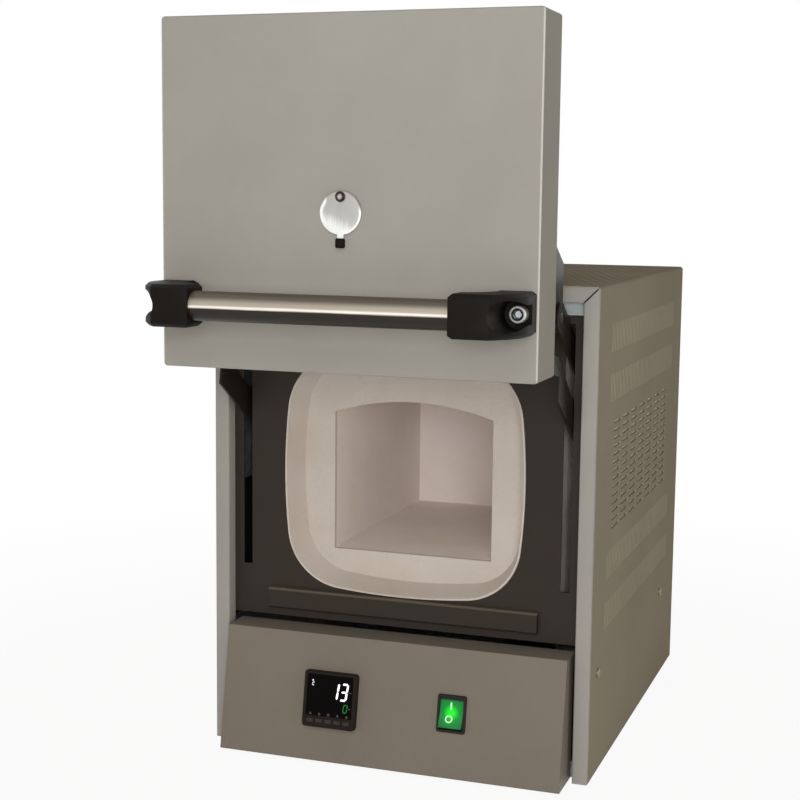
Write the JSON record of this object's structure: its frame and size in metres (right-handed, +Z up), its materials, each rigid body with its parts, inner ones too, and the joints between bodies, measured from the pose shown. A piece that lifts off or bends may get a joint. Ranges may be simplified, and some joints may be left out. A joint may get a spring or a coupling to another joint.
{
  "type": "bench-top muffle furnace",
  "caption": "Box-shaped electric muffle furnace with a white ceramic chamber, a door that lifts upright on parallel links, a bar handle, a temperature controller and a lit rocker switch.",
  "frame": {"origin": "centre of the footprint, on the surface the feet stand on, with the door stored open", "axes": "+Z up, -Y towards the user (the open door and the chamber mouth), +X to the user's right"},
  "size_m": [0.3424, 0.601, 0.62],
  "materials": {
    "case_paint": "satin",
    "galvanised": "satin",
    "fascia_paint": "satin",
    "trim_paint": "satin",
    "door_paint": "satin",
    "dark_paint": "satin",
    "plain_steel": "satin",
    "link_paint": "satin",
    "pin_steel": "polished",
    "screw_steel": "polished",
    "ceramic_fibre": "matte",
    "fibre_board": "matte",
    "heater_wire": "matte",
    "tube_ceramic": "matte",
    "cover_steel": "satin",
    "handle_steel": "polished",
    "handle_plastic": "satin",
    "foot_rubber": "matte",
    "relay_plastic": "gloss",
    "terminal_plastic": "matte",
    "gland_plastic": "matte",
    "controller_plastic": "matte",
    "controller_window": "gloss",
    "controller_keys": "matte",
    "switch_black": "gloss",
    "switch_green": "gloss"
  },
  "bodies": {
    "case": {"outer_case": "case_paint", "base_pan": "galvanised", "feet": "foot_rubber", "rear_cover": "case_paint", "side_screws": "screw_steel", "rear_screws": "screw_steel", "front_panel": "dark_paint", "lintel_strip": "trim_paint", "sill_step": "trim_paint", "power_relay": "relay_plastic", "terminal_block": "terminal_plastic", "cable_gland": "gland_plastic", "muffle_collar": "ceramic_fibre", "muffle_chamber": "ceramic_fibre", "insulation_bottom": "fibre_board", "insulation_top": "fibre_board", "insulation_right": "fibre_board", "insulation_left": "fibre_board", "insulation_rear": "fibre_board", "insulation_shelf": "galvanised", "heating_element_right": "heater_wire", "heating_element_left": "heater_wire", "thermocouple": "tube_ceramic", "flue_tube": "tube_ceramic", "pivot_frame_right": "galvanised", "pivot_frame_left": "galvanised", "pivot_pins": "pin_steel", "control_panel": "fascia_paint", "controller_body": "controller_plastic", "controller_lens": "controller_window", "switch_bezel": "switch_black"},
    "upper_arms": {"upper_link_right": "link_paint", "upper_link_left": "link_paint"},
    "lower_arms": {"lower_link_right": "link_paint", "lower_link_left": "link_paint"},
    "door": {"door_shell": "door_paint", "door_back_plate": "plain_steel", "door_insulation": "fibre_board", "door_plug": "ceramic_fibre", "peephole_tube": "tube_ceramic", "peephole_rivet": "pin_steel", "handle_tube": "handle_steel", "handle_leg_right": "handle_plastic", "handle_leg_left": "handle_plastic", "handle_screws": "screw_steel", "door_bracket_right": "link_paint", "door_bracket_left": "link_paint", "door_pins": "pin_steel"},
    "peephole_cover": {"peephole_cover": "cover_steel", "peephole_knob": "handle_plastic"},
    "switch_rocker": {"switch_rocker": "switch_green"},
    "key_1": {"controller_key_1": "controller_keys"},
    "key_2": {"controller_key_2": "controller_keys"},
    "key_3": {"controller_key_3": "controller_keys"},
    "key_4": {"controller_key_4": "controller_keys"},
    "key_5": {"controller_key_5": "controller_keys"}
  },
  "joints": [
    {"name": "door_lift", "type": "hinge", "parent": "case", "child": "upper_arms", "pos_m": [0, -0.00689, 0.30653], "axis": [1, 0, 0], "range_deg": [0, 100.5]},
    {"name": "lower_arm_turn", "type": "hinge", "parent": "case", "child": "lower_arms", "pos_m": [0, -0.04909, 0.27403], "axis": [1, 0, 0], "range_deg": [0, 100.5]},
    {"name": "door_level", "type": "hinge", "parent": "upper_arms", "child": "door", "pos_m": [0, -0.13854, 0.39202], "axis": [1, 0, 0], "range_deg": [-100.5, 0]},
    {"name": "peephole_swing", "type": "hinge", "parent": "door", "child": "peephole_cover", "pos_m": [-0.002, -0.24104, 0.48452], "axis": [0, 1, 0], "range_deg": [-100, 100]},
    {"name": "switch_rock", "type": "hinge", "parent": "case", "child": "switch_rocker", "pos_m": [0.057, -0.13065, 0.05647], "axis": [1, 0, 0], "range_deg": [0, 20]},
    {"name": "key_1_press", "type": "slide", "parent": "case", "child": "key_1", "axis": [0, 0.9843, -0.1766], "range_m": [0, 0.0004], "stiffness_N_per_m": 500, "springref_m": -0.0002},
    {"name": "key_2_press", "type": "slide", "parent": "case", "child": "key_2", "axis": [0, 0.9843, -0.1766], "range_m": [0, 0.0004], "stiffness_N_per_m": 500, "springref_m": -0.0002},
    {"name": "key_3_press", "type": "slide", "parent": "case", "child": "key_3", "axis": [0, 0.9843, -0.1766], "range_m": [0, 0.0004], "stiffness_N_per_m": 500, "springref_m": -0.0002},
    {"name": "key_4_press", "type": "slide", "parent": "case", "child": "key_4", "axis": [0, 0.9843, -0.1766], "range_m": [0, 0.0004], "stiffness_N_per_m": 500, "springref_m": -0.0002},
    {"name": "key_5_press", "type": "slide", "parent": "case", "child": "key_5", "axis": [0, 0.9843, -0.1766], "range_m": [0, 0.0004], "stiffness_N_per_m": 500, "springref_m": -0.0002}
  ],
  "couplings": [
    {"joint": "lower_arm_turn", "follows": "door_lift", "ratio": 1},
    {"joint": "door_level", "follows": "door_lift", "ratio": -1}
  ]
}
